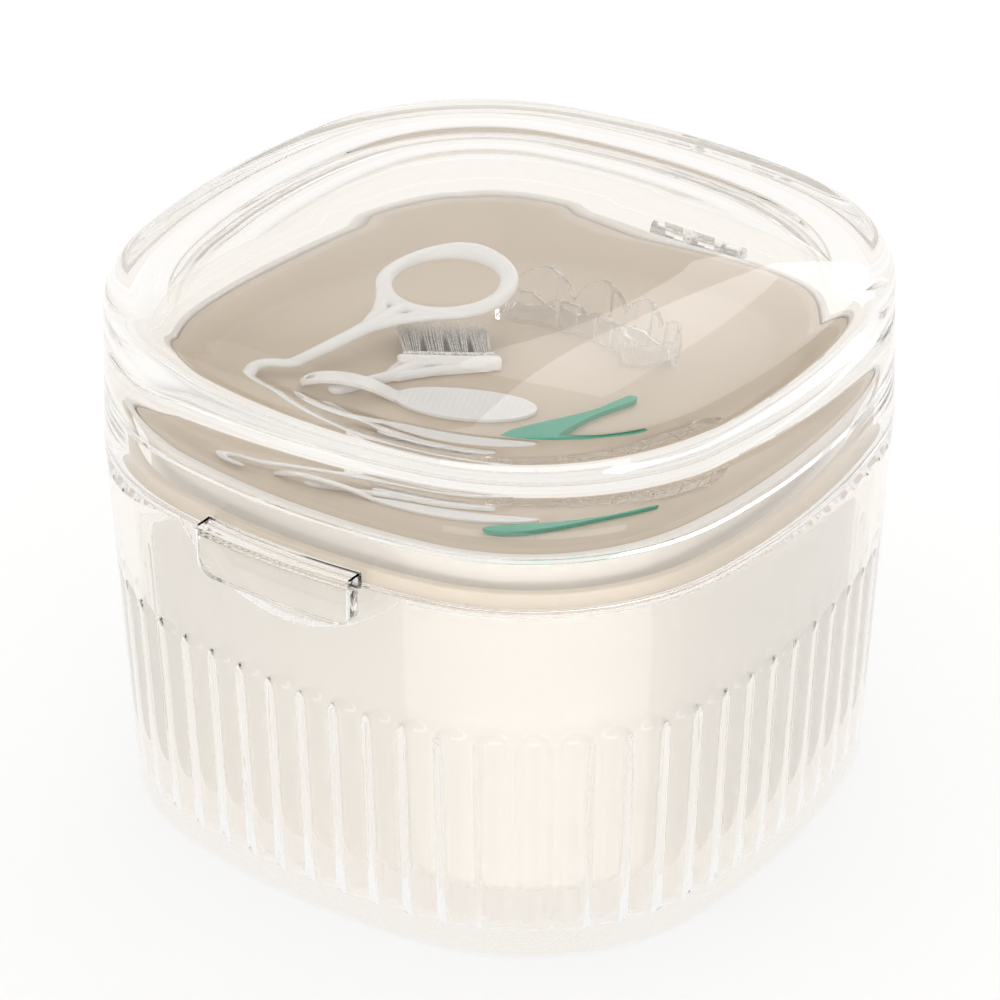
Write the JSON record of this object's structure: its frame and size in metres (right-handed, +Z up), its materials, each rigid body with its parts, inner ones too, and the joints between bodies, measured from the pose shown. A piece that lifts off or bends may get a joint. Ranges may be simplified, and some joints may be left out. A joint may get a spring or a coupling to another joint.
{
  "type": "retainer cleaning case",
  "caption": "Clear square-round case with a hinged domed lid over a white tub, a tray and small cleaning tools with a clear dental retainer.",
  "frame": {"origin": "middle of the base, on the surface that the case stands on", "axes": "+Z up; the lift tab of the lid faces -Y and the hinge is at +Y; +X is to the right, seen from the front"},
  "size_m": [0.1, 0.1077, 0.0831],
  "materials": {
    "clear_case": "clear, polished, fluted inside",
    "clear_lid": "clear, polished, thick-walled",
    "seal": "soft translucent silicone, beige",
    "steel": "plain wire pin",
    "tub_white": "warm white, satin",
    "tray_beige": "pale beige, satin",
    "tool_white": "white, moulded, glossy",
    "bristle_white": "translucent white nylon strands",
    "pick_green": "green, slightly translucent",
    "clear_retainer": "clear, thin, formed sheet"
  },
  "bodies": {
    "case": {"outer_case": "clear_case", "seal_ring": "seal", "hinge_pin": "steel"},
    "lid": {"lid": "clear_lid"},
    "tub": {"inner_tub": "tub_white"},
    "tray": {"top_tray": "tray_beige", "ring_hook_tool": "tool_white", "brush_handle": "tool_white", "brush_bristles": "bristle_white", "scoop": "tool_white", "pick": "pick_green", "retainer": "clear_retainer"}
  },
  "joints": [
    {"name": "lid_hinge", "type": "hinge", "parent": "case", "child": "lid", "pos_m": [0, 0.053, 0.057], "axis": [-1, 0, 0], "range_deg": [0, 105]},
    {"name": "tub_lift", "type": "slide", "parent": "case", "child": "tub", "axis": [0, 0, 1], "range_m": [0, 0.004]},
    {"name": "tray_lift", "type": "slide", "parent": "tub", "child": "tray", "axis": [0, 0, 1], "range_m": [0, 0.004]}
  ]
}
